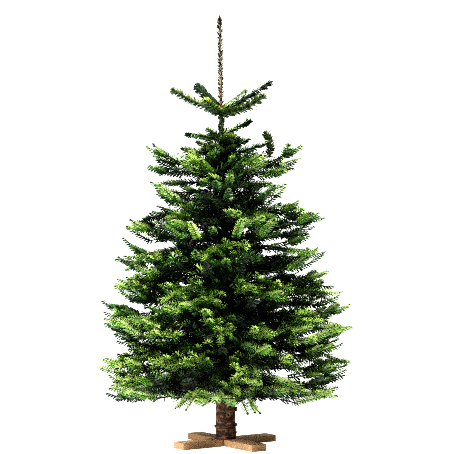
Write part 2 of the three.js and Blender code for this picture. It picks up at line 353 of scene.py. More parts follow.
growth = {
    "seed": 9,
    "yearLength": 0.115,  # of a bough's own line
    "shootLength": 0.094,  # of a side shoot, about
    "stepVaries": (0.86, 1.14),
    "leastShoot": 0.042,
    "leastSide": 0.0588,  # the shortest length that a side spray sets out with
    "sideAngle": (44, 58),  # degrees between a side shoot and its parent
    "sideShare": (0.62, 0.86),  # its length as a share of what the parent grew after it
    "roll": 30,  # degrees that a bough's side sprays tip out of its plane
    "innerRoll": 0.6,  # share of that for the sprays on those
    "tipRise": 0.15,
    "tipBend": 0.02,  # how far a bough sags before its last year's shoot turns up
    "tipShort": 0.05,  # share of its last year that it stays short of its line's end
    "boughBow": 0.01,  # sag within a year, as a share of the year's length
    "shootBow": 0.03,
    "wander": 0.09,
    "proud": 0.01,  # how far a shoot may stand out of its mass
    "highestRank": 2,
    "lineSteps": 13,
    # the boughs of one mass: degrees aside, level between its under and upper side, share of its reach
    "boughs": [(0, 0.5, 1.0), (-14, 0.86, 0.93), (14, 0.88, 0.89), (11, 0.13, 0.95), (-13, 0.15, 0.91)],
    "topBoughs": [
        (0, 0.5, 1.0), (-15, 0.72, 0.6), (15, 0.74, 0.6), (12, 0.16, 0.9), (-13, 0.18, 0.88),
    ],
    # smaller boughs from the trunk between two whorls
    "between": {
        "count": 6, "share": (0.4, 0.66), "years": 5,
        "turn": (-0.25, 0.25), "lift": (-0.03, 0.03), "rise": (0.02, 0.22),
    },
    # boughs that reach out past their whorl: the tip's heading, height and distance, and its rise in degrees
    "reaching": {
        "tips": [
            (0, 0.8, 0.485, 12), (1, 0.635, 0.58, 11), (-2, 0.525, 0.58, 8), (2, 0.325, 0.57, 10),
            (-2, 0.345, 0.53, 4), (0, 0.966, 0.41, 12), (0, 1.05, 0.46, 8), (2, 1.118, 0.38, 14),
            (0, 1.372, 0.375, 19), (2, 1.266, 0.315, 6), (-1, 0.905, 0.455, 20), (1, 0.455, 0.535, 6),
            (-1, 0.245, 0.515, 2), (180, 0.945, 0.48, 26), (180, 0.855, 0.485, 18), (178, 0.603, 0.575, 3),
            (181, 0.55, 0.565, 10), (180, 0.78, 0.49, 14), (182, 0.375, 0.55, 4), (180, 0.24, 0.54, 2),
            (180, 1.378, 0.345, 22), (181, 1.29, 0.34, 12), (179, 0.31, 0.53, 8), (180, 0.492, 0.515, 6),
            (182, 0.672, 0.46, 3), (178, 0.705, 0.43, 8), (180, 1.09, 0.31, 8), (180, 1.02, 0.44, 4),
            (270, 0.6, 0.42, 8), (90, 0.75, 0.42, 10), (90, 0.35, 0.44, 4),
        ],
        "swings": (-8, 7),  # degrees to each side of the heading where its two sprays start
        "turnsOut": 0.6,
        "from": 0.55,
        "drop": (0.0, 0.02),
        "years": 4,
    },
    # short shoots round the stem over the highest whorl: heading, height, length, rise
    "collar": [
        (196, 1.418, 0.072, 0.5), (345, 1.388, 0.078, 0.36), (22, 1.37, 0.118, 0.36),
        (172, 1.384, 0.085, 0.36), (186, 1.36, 0.125, 0.24), (255, 1.35, 0.11, 0.2),
        (296, 1.338, 0.12, 0.24), (70, 1.35, 0.12, 0.3), (120, 1.335, 0.13, 0.3), (225, 1.33, 0.13, 0.16),
        (2, 1.368, 0.125, 0.34), (-4, 1.345, 0.195, 0.12), (180, 1.35, 0.17, 0.12),
    ],
    "collarReach": 0.3,
    # open places at the crown's edge, where no shoot grows: X from and to, height from and to
    "open": [
        (-0.3, -0.07, 1.155, 1.238), (0.11, 0.25, 1.158, 1.242), (0.17, 0.42, 0.865, 0.952),
        (-0.44, -0.26, 0.882, 0.955), (0.15, 0.4, 0.295, 0.368), (-0.49, -0.35, 0.59, 0.64),
        (0.235, 0.3, 1.07, 1.105), (0.46, 0.54, 0.39, 0.43), (-0.38, -0.22, 0.185, 0.235),
        (0.27, 0.43, 0.175, 0.235), (0.02, 0.075, 0.165, 0.225),
    ],
    # sprays that hang from the lowest boughs: heading, share of the bough's length where each starts
    "hanging": {
        "places": [
            (226, 0.8), (230, 0.86), (235, 0.8), (240, 0.84), (245, 0.88), (279, 0.86), (284, 0.76),
            (289, 0.82), (293, 0.74), (18, 0.66), (60, 0.6), (140, 0.6),
        ],
        "length": (0.1, 0.14),
        "slope": (-0.8, -0.5),
        "swing": 26,
        "level": 0.25,
        "years": 2,
    },
    # hollows with fewer shoots and painted shade, and lighter places: heading, height, half its size, tints
    "patches": [
        (297, 0.62, 0.18, 0.065, -2.2), (256, 1.083, 0.08, 0.055, -2.2), (265, 0.8, 0.19, 0.036, -1.8),
        (248, 0.54, 0.12, 0.03, -1.6), (253, 0.335, 0.09, 0.06, -2.0), (277, 0.47, 0.07, 0.065, -1.8),
        (230, 0.31, 0.12, 0.04, -1.6), (298, 0.41, 0.09, 0.032, -1.6), (334, 1.0, 0.08, 0.036, -1.6),
        (233, 0.535, 0.12, 0.045, 1.3), (229, 0.41, 0.13, 0.035, 1.5), (258, 0.485, 0.09, 0.024, 1.3),
        (263, 0.63, 0.08, 0.05, 1.3), (293, 0.49, 0.11, 0.028, 1.3), (278, 0.355, 0.09, 0.034, 1.4),
        (314, 0.3, 0.17, 0.03, 1.6), (260, 0.27, 0.14, 0.024, 1.4), (329, 0.51, 0.09, 0.05, 1.2),
        (291, 1.03, 0.065, 0.028, 1.8), (328, 1.3, 0.09, 0.045, 1.0), (222, 1.275, 0.1, 0.055, 0.8),
    ],
    # and more of both kinds, on the other sides
    "morePatches": {
        "count": 16, "headings": (-10, 190), "lowest": 0.3, "reach": 0.95,
        "wide": (0.08, 0.15), "high": (0.03, 0.06), "tints": (-1.8, 1.4),
    },
    "patchEdge": 1.4,
    "patchFrom": 0.5,  # share of the crown's reach
    "sparser": 0.42,  # share of the shoots left out for each tint darker
}
rng = random.Random(growth["seed"])
shoots = []
boughLines = []
patches = list(growth["patches"])
more = growth["morePatches"]
for number in range(more["count"]):
    share = (number + 0.5) / more["count"]
    patches.append((rng.uniform(*more["headings"]), more["lowest"] + more["reach"] * share,
                    rng.uniform(*more["wide"]), rng.uniform(*more["high"]), more["tints"][number % 2]))


def headingOf(out):
    return math.degrees(math.atan2(out.y, out.x))


def turnBetween(first, second):
    return (first - second + 180) % 360 - 180


def nearestIn(chosen, heading):
    return min(chosen, key=lambda m: abs(turnBetween(m["heading"], heading)))


def roomAhead(mass, start, way):
    if mass["tree"] is None:
        return mass["reach"] - (start.xy - mass["axis"].xy).length
    hit, normal, index, distance = mass["tree"].ray_cast(start, way)
    if hit is None:
        return 0
    if normal.dot(way) > 0:
        return distance
    further = mass["tree"].ray_cast(hit + way * 1e-4, way)
    return distance + further[3] if further[0] is not None else 0


def patchAt(mass, place):
    # How much lighter or darker the foliage is there, in tints: the darker is painted shade
    out, change = place.xy - axisAt(place.z).xy, 0.0
    if out.length < growth["patchFrom"] * mass["crown"]:
        return change
    own = headingOf(out)
    for heading, height, wide, high, tint in patches:
        across = out.length * math.radians(turnBetween(own, heading))
        far = (across / wide) ** 2 + ((place.z - height) / high) ** 2
        change += tint * max(0.0, 1 - far / growth["patchEdge"])
    return change


def addShoot(mass, start, end, bow, age, rank, spray, normal, tip=False):
    # Three points from start to end, sagging a little between them
    middle = start.lerp(end, 0.5)
    free = rank == 0 or spray["kind"] == "reaching"
    for west, east, low, high in growth["open"]:
        if not free and any(west < place.x < east and low < place.z < high for place in (middle, end)):
            return None
    change = patchAt(mass, middle)
    if not free and rng.random() < -change * growth["sparser"]:
        return None
    sag = up * bow * (end - start).length
    shoots.append({
        "mass": mass, "points": [start, middle - sag, end], "age": age, "rank": rank,
        "spray": spray, "normal": normal.copy(), "tip": tip, "patch": change,
    })
    return shoots[-1]


def newSpray(kind, parent=None):
    # Sprays of one bough are much alike
    own = rng.random()
    return {"kind": kind, "mood": 0.5 * own + 0.5 * parent["mood"] if parent else own}


def growAxis(mass, start, way, length, years, rank, spray, normal=None):
    normal = normal or flatNormal(way)
    years = max(1, min(years, round(length / growth["shootLength"])))
    step = length / years
    place, heading, last = start.copy(), way.normalized(), None
    for year in range(years):
        age = years - 1 - year
        stray = Vector([rng.uniform(-1, 1) for axis in range(3)]) * growth["wander"]
        rise = growth["tipRise"] * (year + 0.5) / years
        heading = (heading + stray + up * rise).normalized()
        wanted = step * rng.uniform(*growth["stepVaries"])
        grown = min(wanted, roomAhead(mass, place, heading) + growth["proud"])
        if grown < growth["leastShoot"]:
            break
        end = place + heading * grown
        shoot = addShoot(mass, place, end, growth["shootBow"], age, rank, spray, normal)
        if not shoot:
            break
        last = shoot
        if age > 0 and rank < growth["highestRank"]:
            growPair(mass, end, heading, normal, step * age, age, rank + 1, spray)
        place = end
    if last:
        last["tip"] = True
        last["age"] = min(last["age"], 1)


def growPair(mass, place, heading, normal, remaining, years, rank, spray):
    for side in (-1, 1):
        tipped = rng.uniform(-1, 1) * growth["roll"] * (1 if rank == 1 else growth["innerRoll"])
        roll = Quaternion(heading, math.radians(tipped))
        opened = Quaternion(normal, side * math.radians(rng.uniform(*growth["sideAngle"])))
        length = remaining * rng.uniform(*growth["sideShare"])
        own = newSpray("side", spray) if rank <= 1 else spray
        growAxis(mass, place, roll @ (opened @ heading), max(length, growth["leastSide"]), years, rank, own,
                 roll @ normal)


def readMass(node):
    mesh = nodes[node].data
    mesh.calc_loop_triangles()
    points = [v.co.copy() for v in mesh.vertices]
    axis = axisAt(sum(p.z for p in points) / len(points))
    tip = max(points, key=lambda p: (p.xy - axis.xy).length)
    out = tip.xy - axis.xy
    return {
        "node": node, "axis": axis, "tip": tip, "reach": out.length, "crown": out.length,
        "tree": BVHTree.FromPolygons(points, [tuple(t.vertices) for t in mesh.loop_triangles]),
        "region": "shoots" if node.startswith("shoot") else "tier_" + node.split("_")[1],
        "heading": headingOf(out), "level": (axis.z + tip.z) / 2,
    }


def lineThrough(mass, swing=0, level=0.5, share=1):
    # The line of a bough from the trunk's middle, at a level between the mass's under and upper side
    way, line = towards(mass["heading"] + swing), []
    steps = growth["lineSteps"]
    for step in range(1, steps + 1):
        place = mass["axis"] + way * (mass["reach"] * share * step / steps)
        low = mass["tree"].ray_cast(Vector((place.x, place.y, place.z - 1)), up)
        high = mass["tree"].ray_cast(Vector((place.x, place.y, place.z + 1)), -up)
        if low[0] is not None:
            line.append(low[0].lerp(high[0], level))
        elif line:
            break
    if swing == 0 and share == 1:
        line[-1] = mass["tip"]
    return [Vector((mass["axis"].x, 0, line[0].z - 0.01))] + line


def lengthOf(line):
    return sum((b - a).length for a, b in zip(line, line[1:]))


def alongLine(line, share):
    target = share * lengthOf(line)
    for a, b in zip(line, line[1:]):
        length = (b - a).length
        if target <= length or b is line[-1]:
            return a.lerp(b, min(target / length, 1))
        target -= length


def flatNormal(way):
    return way.cross(up).cross(way).normalized()


def growBough(mass, swing, level, share):
    line = lineThrough(mass, swing, level, share)
    years = max(2, round(lengthOf(line) / growth["yearLength"]))
    ends = [alongLine(line, year / years) for year in range(years + 1)]
    ends[-1] = ends[-1].lerp(ends[-2], growth["tipShort"])
    ends[-2] = ends[-2] - up * growth["tipBend"]
    whole = newSpray("bough")
    for year in range(years):
        start, end = ends[year], ends[year + 1]
        heading = (end - start).normalized()
        age = years - 1 - year
        addShoot(mass, start, end, growth["boughBow"], age, 0, whole, flatNormal(heading), tip=age == 0)
        if age > 0:
            growPair(mass, end, heading, flatNormal(heading), (ends[-1] - end).length, age, 1, whole)
    boughLines.append((mass, ends, swing == 0))


masses = []
for node in sorted(nodes):
    if node.startswith("foliage"):
        masses.append(readMass(node))
        tops = masses[-1]["region"] == "tier_8"
        for swing, level, share in growth["topBoughs" if tops else "boughs"]:
            growBough(masses[-1], swing, level, share)

tiers = sorted({m["region"] for m in masses})
feet = {tier: [m for m in masses if m["region"] == tier] for tier in tiers}
levels = {tier: sum(lineThrough(m)[1].z for m in feet[tier]) / len(feet[tier]) for tier in tiers}
between = growth["between"]
for tier, above in zip(tiers, tiers[1:]):
    first = rng.uniform(0, 360)
    for number in range(between["count"]):
        heading = first + (number + rng.uniform(*between["turn"])) * 360 / between["count"]
        host = nearestIn(feet[tier], heading)
        start = axisAt((levels[tier] + levels[above]) / 2 + rng.uniform(*between["lift"]))
        limit = host["reach"] * rng.uniform(*between["share"])
        way = towards(heading, rng.uniform(*between["rise"]))
        growAxis(dict(host, tree=None, axis=start, reach=limit), start, way, limit, between["years"], 0,
                 newSpray("between"))
reaching = growth["reaching"]
for heading, height, reach, rise in reaching["tips"]:
    for swing in reaching["swings"]:
        axis = axisAt(height)
        host = min(masses, key=lambda m: (m["tip"] - axis - towards(heading) * reach).length)
        slope = math.tan(math.radians(rise))
        start = axis + towards(heading + swing) * reach * reaching["from"]
        start -= up * (slope * reach * (1 - reaching["from"]) + rng.uniform(*reaching["drop"]))
        way = towards(heading + swing * reaching["turnsOut"], slope)
        growAxis(dict(host, tree=None, axis=axis, reach=reach), start, way, reach * (1 - reaching["from"]),
                 reaching["years"], 1, newSpray("reaching"))
for heading, height, length, rise in growth["collar"]:
    start, way = axisAt(height), towards(heading, rise)
    host = min(feet["tier_8"], key=lambda m: (m["tip"] - start - way * growth["collarReach"]).length)
    growAxis(dict(host, tree=None, axis=start, reach=growth["collarReach"], region="shoots"), start, way,
             length, 1, 2, newSpray("collar"))
hanging = growth["hanging"]
for heading, share in hanging["places"]:
    host = nearestIn(feet["tier_1"], heading)
    swing = max(-hanging["swing"], min(hanging["swing"], turnBetween(heading, host["heading"])))
    start = alongLine(lineThrough(host, swing, hanging["level"]), share)
    way = towards(heading, rng.uniform(*hanging["slope"]))
    growAxis(dict(host, tree=None), start, way, rng.uniform(*hanging["length"]), hanging["years"], 1,
             newSpray("hanging"))
print("boughs and sprays: %d shoots" % len(shoots))

# Shoots that stand alone: those with a solid of their own, and an upright one on the highest whorl

alone = {
    "parts": 5,  # straight parts in a shoot's line
    "uprightHeading": 2,
    # how far out and how high the upright shoot's line passes
    "uprightLine": [(0.218, 1.345), (0.228, 1.373), (0.227, 1.400), (0.218, 1.424), (0.205, 1.445)],
}
for node in sorted(nodes):
    if node.startswith("shoot"):
        mass = readMass(node)
        masses.append(mass)
        line = lineThrough(mass)
        ends = [alongLine(line, share / alone["parts"]) for share in range(alone["parts"] + 1)]
        spray = newSpray("top")
        for a, b in zip(ends, ends[1:]):
            addShoot(mass, a, b, 0, 0, 0, spray, flatNormal((b - a).normalized()), tip=b is ends[-1])
aside = towards(alone["uprightHeading"])
line = [axisAt(height) + aside * out for out, height in alone["uprightLine"]]
host = min(feet["tier_8"], key=lambda m: (m["tip"] - line[0]).length)
own = [s["points"][-1] for s in shoots if s["mass"]["node"] == host["node"]]
line.insert(0, min(own, key=lambda end: (end - line[0]).length))
spray = newSpray("upright")
for a, b in zip(line, line[1:]):
    addShoot(dict(host, region="shoots"), a, b, 0, 0, 0, spray, towards(270), tip=b is line[-1])
print("growth: %d shoots, %.0f m" % (len(shoots), sum(lengthOf(s["points"]) for s in shoots)))

# What needles each shoot carries

needle = {
    "length": 0.028,
    "width": 0.0052,
    # its outline from foot to tip: share of its half width, share of its length
    "outline": [(0.5, 0.0), (1.0, 0.45), (0.95, 0.86), (0.45, 1.0)],
    "curve": 0.06,  # how far it bends up, as a share of its length
    # spacing of its loose rings along a shoot, needles in a ring, how far one sits off its ring, degrees to
    # each side of straight up, degrees between needle and shoot on top and at the sides, tints lighter on
    # top as painted light, and tints darker under the shoot as painted shade
    "rows": {
        "Spacing": 0.0118, "Ring": 8, "Stray": 0.0010, "Spread": 150.0, "Open Top": 46.0, "Open Side": 62.0,
        "Lit": 0.6, "Shade": 3.4,
    },
    "closeSpacing": 0.0046,  # on the shoots that stand alone
    "turnVaries": (-0.6, 0.6),  # of the turn from one needle to the next
    "twist": -0.5,  # turned back on its own line, as a share of its place round the shoot
    "twistVaries": (-0.25, 0.25),
    "tiltVaries": (0.94, 1.06),
    "lengthVaries": (0.94, 1.05),
    "tintVaries": (-0.55, 0.55),
    "topLength": 0.86,
    "sideLonger": 0.12,
    "tipPower": 5.0,
    "tipClosed": 0.3,  # how far the last needles of a shoot lie closer to it, and how much shorter
    "tipShorter": 0.4,
    "shadePower": 2.2,
    "seed": 5,
    # share of the crown's reach, share of needles kept, size: inside the crown fewer and larger ones do
    "zones": [(0.50, 0.24, 1.30), (0.70, 0.46, 1.12), (0.85, 0.75, 1.0), (9.0, 1.0, 1.0)],
    "hanging": (1.0, 1.0),  # share kept and size on the other kinds of shoot
    "upright": (0.72, 0.95),
    "single": (0.72, 1.18),
}
twig = {
    "sides": 3,
    "radius": 0.0015,
    "thicker": 0.0006,  # for each year
    "boughThicker": 0.0007,
    "single": 0.0028,
    "flare": 0.0004,  # at its foot
}
tone = {
    # lightness, about 0 to 1, by the spray's own mood, how far out (deeper in the crown, painted shade), how
    # low and how old the shoot is, how high it is in its mass (painted light above, painted shade below), and
    # the patch that it grows in (painted shade in the darker ones)
    "mood": 0.62,
    "out": (0.95, 0.8),  # shares of the crown's reach: the most that counts, and what adds nothing
    "low": 0.20,
    "lowFrom": (1.15, 0.9),  # the height that it starts at, and how far down it grows
    "age": 0.22,
    "base": 0.02,
    "rise": 3.0,
    "paintedLightShadeRange": (-0.25, 0.12),
    "stray": 0.06,
    "paintedShadePatch": 0.60,
    "lightPatch": 0.36,
    "hanging": 0.12,
    "deepest": 0.17,
    "step": 0.155,  # lightness between two tints
    # tints of the shoots that stand alone: those at the back stand in the others' shade
    "upright": 2.2,
    "collar": 2.5,
    "top": 3.1,
    "backLeft": 0.3,
    "backRight": 1.2,
    "backFrom": 0.02,
}


def tintOf(shoot):
    spray, end = shoot["spray"], shoot["points"][-1]
    if shoot["mass"]["region"] == "shoots":
        if spray["kind"] == "upright":
            return tone["upright"]
        if end.y > tone["backFrom"]:
            return tone["backRight" if end.x > 0 else "backLeft"]
        return tone["collar" if spray["kind"] == "collar" else "top"]
    most, plain = tone["out"]
    low = max(0.0, min(1.0, (tone["lowFrom"][0] - end.z) / tone["lowFrom"][1]))
    # Deeper in the crown a shoot is darker: painted shade
    bright = spray["mood"] * tone["mood"] + (min(shoot["outward"], most) - plain) + low * tone["low"]
    bright = bright - shoot["age"] * tone["age"] + tone["base"]
    # Lighter high in its mass and darker low in it: painted light and painted shade
    least, highest = tone["paintedLightShadeRange"]
    rise = max(least, min(highest, (end.z - shoot["mass"]["level"]) * tone["rise"]))
    bright += rise + rng.uniform(-tone["stray"], tone["stray"])
    # The darker patches are painted shade
    patch = shoot["patch"] * tone["paintedShadePatch" if shoot["patch"] < 0 else "lightPatch"]
    bright += patch + (tone["hanging"] if spray["kind"] == "hanging" else 0)
    return max(0.0, min(5.0, (bright + tone["deepest"]) / tone["step"]))


for shoot in shoots:
    end, age, kind = shoot["points"][-1], shoot["age"], shoot["spray"]["kind"]
    shoot["outward"] = (end.xy - axisAt(end.z).xy).length / shoot["mass"]["crown"]
    shoot["tint"] = tintOf(shoot)
    thick = twig["radius"] + twig["thicker"] * age + (twig["boughThicker"] * age if shoot["rank"] == 0 else 0)
    if shoot["mass"]["region"] == "shoots":
        look, thick = needle["upright" if kind == "upright" else "single"], twig["single"]
    elif kind == "hanging":
        look = needle["hanging"]
    else:
        look = next(zone[1:] for zone in needle["zones"] if shoot["outward"] < zone[0])
    shoot["keep"], shoot["size"] = look
    shoot["girth"] = (thick + twig["flare"], thick)
    shoot["twigKind"] = 0 if age == 0 else 1

lineValues = {
    "tint": "FLOAT", "size": "FLOAT", "keep": "FLOAT", "girth": "FLOAT", "tipped": "FLOAT",
    "twigKind": "INT", "upWay": "FLOAT_VECTOR",
}


def skeletonObject(name, chosen):
    # A mesh of loose lines, one for each shoot, with what the needles need to know at every point
    verts, edges = [], []
    values = {label: [] for label in lineValues}
    for shoot in chosen:
        foot, tip = shoot["girth"]
        for number, point in enumerate(shoot["points"]):
            if number:
                edges.append((len(verts) - 1, len(verts)))
            verts.append(point)
            values["upWay"] += list(shoot["normal"])
            values["tipped"].append(float(shoot["tip"]))
            values["girth"].append(foot + (tip - foot) * number / 2)
            for label in ("tint", "size", "keep", "twigKind"):
                values[label].append(shoot[label])
    mesh = bpy.data.meshes.new(name)
    mesh.from_pydata(verts, edges, [])
    for label, kind in lineValues.items():
        attribute = mesh.attributes.new(label, kind, "POINT")
        attribute.data.foreach_set("vector" if label == "upWay" else "value", values[label])
    return pieceOf(name, mesh)


# Needles and twigs are made along the shoots' lines by Geometry Nodes, and realized

def namedValue(tree, label, kind="FLOAT"):
    node = addNode(tree, "GeometryNodeInputNamedAttribute", {"Name": label}, data_type=kind)
    return next(s for s in node.outputs if s.enabled and s.name == "Attribute")


def stored(tree, geometry, label, value, kind="FLOAT"):
    inputs = {"Geometry": geometry, "Name": label, "Value": value}
    return addNode(tree, "GeometryNodeStoreNamedAttribute", inputs, data_type=kind, domain="POINT").outputs[0]


def realWith(tree, geometry, materials, label):
    # Real meshes, each with the material whose number it carries
    number = namedValue(tree, label, "INT")
    geometry = addNode(tree, "GeometryNodeRealizeInstances", {"Geometry": geometry}).outputs[0]
    for place, material in enumerate(materials):
        same = addNode(tree, "FunctionNodeCompare", {2: number, 3: place}, data_type="INT", operation="EQUAL")
        inputs = {"Geometry": geometry, "Selection": same.outputs[0], "Material": material}
        geometry = addNode(tree, "GeometryNodeSetMaterial", inputs).outputs[0]
    return geometry


def turnedBy(tree, rotation, x, z):
    euler = addNode(tree, "ShaderNodeCombineXYZ", {"X": x, "Z": z})
    by = addNode(tree, "FunctionNodeEulerToRotation", {"Euler": euler.outputs[0]})
    inputs = {"Rotation": rotation, "Rotate By": by.outputs[0]}
    return addNode(tree, "FunctionNodeRotateRotation", inputs, rotation_space="LOCAL").outputs[0]


def needleRows(name, materials):
    tree, given, made = nodeGroup(name, "Geometry", [
        ("Geometry", "Geometry"), ("Needle", "Object"), ("Spacing", "Float"), ("Ring", "Int"),
        ("Stray", "Float"), ("Spread", "Float"), ("Open Top", "Float"), ("Open Side", "Float"),
        # Lit and Shade are tints of painted light on top of a shoot and of painted shade under it
        ("Lit", "Float"), ("Shade", "Float"), ("Seed", "Int"),
    ], [("Geometry", "Geometry")])
    plus, minus, times, timesPlus = arithmetic(tree, "ADD", "SUBTRACT", "MULTIPLY", "MULTIPLY_ADD")
    calc, field = partial(mathNode, tree), partial(namedValue, tree)

    def drawn(step, low, high):
        # A random number for each point, the same in every run
        inputs = {2: low, 3: high, "Seed": plus(given["Seed"], float(step))}
        return addNode(tree, "FunctionNodeRandomValue", inputs, data_type="FLOAT").outputs[1]

    # Rings of points along the lines, each a little off its place, and some left out
    curve = addNode(tree, "GeometryNodeMeshToCurve", {"Mesh": given["Geometry"]}).outputs[0]
    along = addNode(tree, "GeometryNodeSplineParameter").outputs["Factor"]
    row = addNode(tree, "GeometryNodeCurveToPoints", {
        "Curve": stored(tree, curve, "along", along), "Length": given["Spacing"],
    }, mode="LENGTH").outputs
    ring = addNode(tree, "GeometryNodeDuplicateElements", {
        "Geometry": row["Points"], "Amount": given["Ring"],
    }, domain="POINT").outputs
    turn = calc("DIVIDE", plus(ring["Duplicate Index"], 0.5), given["Ring"])
    kept = addNode(tree, "GeometryNodeDeleteGeometry", {
        "Geometry": stored(tree, ring[0], "turn", turn),
        "Selection": calc("GREATER_THAN", drawn(0, 0.0, 1.0), field("keep")),
    }, domain="POINT").outputs[0]
    stray = addNode(tree, "ShaderNodeVectorMath", {
        0: row["Tangent"], "Scale": times(drawn(6, -0.5, 0.5), given["Stray"]),
    }, operation="SCALE").outputs[0]
    points = addNode(tree, "GeometryNodeSetPosition", {"Geometry": kept, "Offset": stray}).outputs[0]

    # Each needle's place round the shoot, how far it opens, less so near the tip, and its own twist
    side = vectorNode(tree, "CROSS_PRODUCT", field("upWay", "FLOAT_VECTOR"), row["Tangent"])
    rotation = addNode(tree, "FunctionNodeAxesToRotation", {0: row["Tangent"], 1: side},
                       primary_axis="Z", secondary_axis="X").outputs[0]
    loose = calc("DIVIDE", drawn(1, *needle["turnVaries"]), given["Ring"])
    share = plus(timesPlus(field("turn"), 2.0, -1.0), loose)
    aside = calc("ABSOLUTE", share)
    about = calc("RADIANS", times(share, given["Spread"]))
    wider = minus(given["Open Side"], given["Open Top"])
    opened = timesPlus(aside, wider, given["Open Top"])
    tipward = times(calc("POWER", field("along"), needle["tipPower"]), field("tipped"))
    closing = minus(1.0, times(tipward, needle["tipClosed"]))
    tilt = times(times(opened, closing), drawn(2, *needle["tiltVaries"]))
    rotation = turnedBy(tree, rotation, 0.0, about)
    rotation = turnedBy(tree, rotation, times(calc("RADIANS", tilt), -1.0), 0.0)
    twist = timesPlus(about, needle["twist"], drawn(3, *needle["twistVaries"]))
    rotation = turnedBy(tree, rotation, 0.0, twist)
    longer = timesPlus(aside, needle["sideLonger"], needle["topLength"])
    longer = times(longer, minus(1.0, times(tipward, needle["tipShorter"])))
    size = times(times(longer, drawn(4, *needle["lengthVaries"])), field("size"))

    # Needles differ a little from their shoot's tint at random, and carry painted shade under the shoot and
    # painted light on top
    shadedShare = calc("POWER", calc("MINIMUM", aside, 1.0), needle["shadePower"])
    below = minus(times(shadedShare, given["Shade"]), given["Lit"])
    oddAndShade = minus(drawn(5, *needle["tintVaries"]), below)
    own = calc("MAXIMUM", calc("ROUND", plus(field("tint"), oddAndShade)), 0.0)
    painted = stored(tree, points, "ownTint", calc("MINIMUM", own, float(len(tints) - 1)), "INT")
    placed = addNode(tree, "GeometryNodeInstanceOnPoints", {
        "Instance": addNode(tree, "GeometryNodeObjectInfo", {"Object": given["Needle"]}).outputs["Geometry"],
        "Points": painted, "Rotation": rotation, "Scale": size,
    }).outputs[0]
    return ended(tree, made, realWith(tree, placed, materials, "ownTint"))


def twigTubes():
    tree, given, made = nodeGroup(
        "twig_tubes", "Geometry", [("Geometry", "Geometry"), ("Sides", "Int")], [("Geometry", "Geometry")])
    ring = addNode(tree, "GeometryNodeCurvePrimitiveCircle", {
        "Resolution": given["Sides"], "Radius": 1.0,
    }, mode="RADIUS").outputs[0]
    bar = addNode(tree, "GeometryNodeCurveToMesh", {
        "Curve": addNode(tree, "GeometryNodeMeshToCurve", {"Mesh": given["Geometry"]}).outputs[0],
        "Profile Curve": ring, "Fill Caps": True, "Scale": namedValue(tree, "girth"),
    }).outputs[0]
    return ended(tree, made, realWith(tree, bar, twigMaterials, "twigKind"))


def pieceOf(name, mesh):
    piece = bpy.data.objects.new(name, mesh)
    scene.collection.objects.link(piece)
    return piece


def meshOf(name, verts, faces):
    mesh = bpy.data.meshes.new(name)
    mesh.from_pydata(verts, [], faces)
    return pieceOf(name, mesh)


def evaluated(name, chosen, tree, values):
    # What the tree makes along the shoots' lines, as a plain piece; the lines are removed
    thing = skeletonObject("lines_" + name, chosen)
    modifier = thing.modifiers.new("made", "NODES")
    modifier.node_group = tree
    for socket in tree.interface.items_tree:
        if socket.in_out == "INPUT" and socket.name in values:
            modifier[socket.identifier] = values[socket.name]
    graph = bpy.context.evaluated_depsgraph_get()
    mesh = bpy.data.meshes.new_from_object(thing.evaluated_get(graph), depsgraph=graph)
    mesh.name = name
    thing.modifiers.remove(modifier)
    bpy.data.objects.remove(thing)
    spent = (*lineValues, "along", "turn", "ownTint")
    for label in [a.name for a in mesh.attributes if a.name in spent]:
        mesh.attributes.remove(mesh.attributes[label])
    return pieceOf(name, mesh)


def finishPiece(piece, replaced=()):
    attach(piece, "root")
    if replaced:
        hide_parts(*replaced)
    mesh = piece.data
    mesh.calc_loop_triangles()
    counts.append(len(mesh.loop_triangles))
    print("%s: %d triangles" % (piece.name, counts[-1]))


def needleShape():
    # Narrow at the foot, widest near its blunt end, and curved up a little
    verts = []
    for share, along in needle["outline"]:
        half, place = needle["width"] / 2 * share, needle["length"] * along
        bend = place * along * needle["curve"]
        verts += [(-half, bend, place), (half, bend, place)]
    mesh = bpy.data.meshes.new("needle_shape")
    mesh.from_pydata(verts, [], [(row, row + 1, row + 3, row + 2) for row in (0, 2, 4)])
    return bpy.data.objects.new("needle_shape", mesh)


counts = []
oneNeedle = needleShape()
rows = needleRows("needle_rows", needleMaterials)
oliveRows = needleRows("olive_rows", oliveMaterials)
for number, region in enumerate(tiers + ["shoots"]):
    chosen = [s for s in shoots if s["mass"]["region"] == region]
    values = dict(needle["rows"], Needle=oneNeedle, Seed=needle["seed"] + 10 * number)
    single = region == "shoots"
    if single:
        values["Spacing"] = needle["closeSpacing"]
    piece = evaluated("needles_" + region, chosen, oliveRows if single else rows, values)
    finishPiece(piece, sorted({s["mass"]["node"] for s in chosen}))

finishPiece(evaluated("twigs", shoots, twigTubes(), {"Sides": twig["sides"]}))

# Sparse short needles pressed to the leader and the stem under the top whorl

leader = {
    "from": 1.36, "to": 1.962, "parts": 24, "seed": 91,
    "rows": {
        "Spacing": 0.0010, "Ring": 1, "Stray": 0.0, "Spread": 180.0, "Open Top": 42.0, "Open Side": 42.0,
        "Lit": 0.0, "Shade": 0.0,
    },
    "stem": {"tint": "dark", "size": 0.90, "keep": 0.8},
    "tip": {"tint": "deep", "size": 0.78, "keep": 0.60},
}
lines = []
for part in range(leader["parts"]):
    low, high = [
        leader["from"] + (leader["to"] - leader["from"]) * (part + end) / leader["parts"] for end in (0, 1)]
    look = leader["stem" if high < trunk["whorl"] else "tip"]
    points = [axisAt(height) for height in (low, (low + high) / 2, high)]
    lines.append(dict(look, tint=float(tints.index(look["tint"])), points=points, normal=towards(270),
                      girth=(0, 0), twigKind=0, tip=False))
values = dict(leader["rows"], Needle=oneNeedle, Seed=leader["seed"])
finishPiece(evaluated("needles_leader", lines, rows, values))

# Buds: a pointed one at each shoot's tip, with two beside it on the outer shoots, and a cluster on the leader

